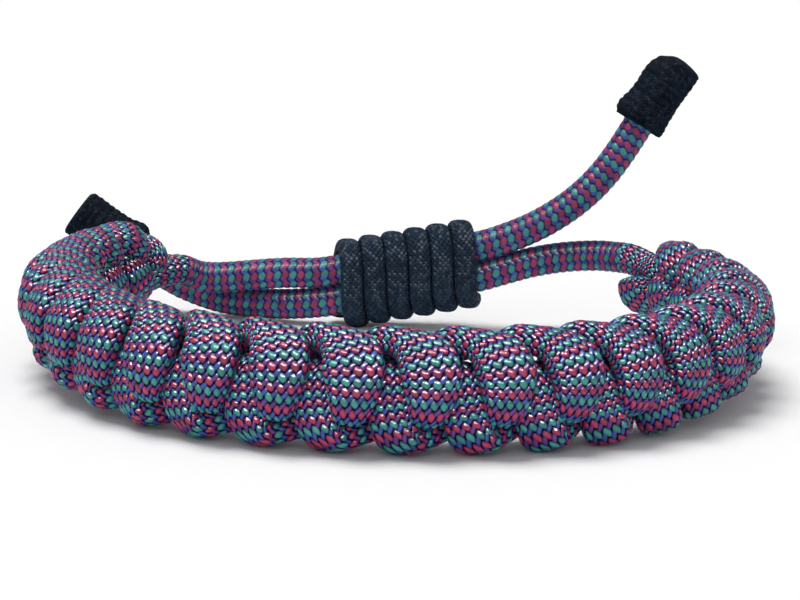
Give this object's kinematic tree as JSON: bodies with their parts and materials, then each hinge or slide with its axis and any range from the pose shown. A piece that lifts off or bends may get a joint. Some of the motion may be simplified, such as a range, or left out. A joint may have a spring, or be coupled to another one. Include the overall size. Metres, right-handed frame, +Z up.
{
  "type": "rope bracelet",
  "caption": "Braided cord bracelet: a round-ended snake-knot band, two cord tails in a wrapped black sliding knot, and black end caps.",
  "frame": {"origin": "middle of the bracelet's footprint, on the plane that its lower edge rests on", "axes": "+Z up, from the lower edge of the band to its upper edge; +X to the right as seen from the front; +Y from the front of the band to the sliding knot at the back"},
  "size_m": [0.0814, 0.0746, 0.0339],
  "materials": {
    "cord": "glossy nylon braid in green, crimson, blue and purple picks",
    "black_cord": "fine black nylon braid with a soft sheen",
    "cap_binding": "rough matt black wound binding"
  },
  "bodies": {
    "root": {"knot_strand_a": "cord", "knot_strand_b": "cord", "tail_a": "cord", "tail_b": "cord", "sliding_knot": "black_cord", "end_cap_a": "cap_binding", "end_cap_b": "cap_binding"}
  },
  "joints": []
}
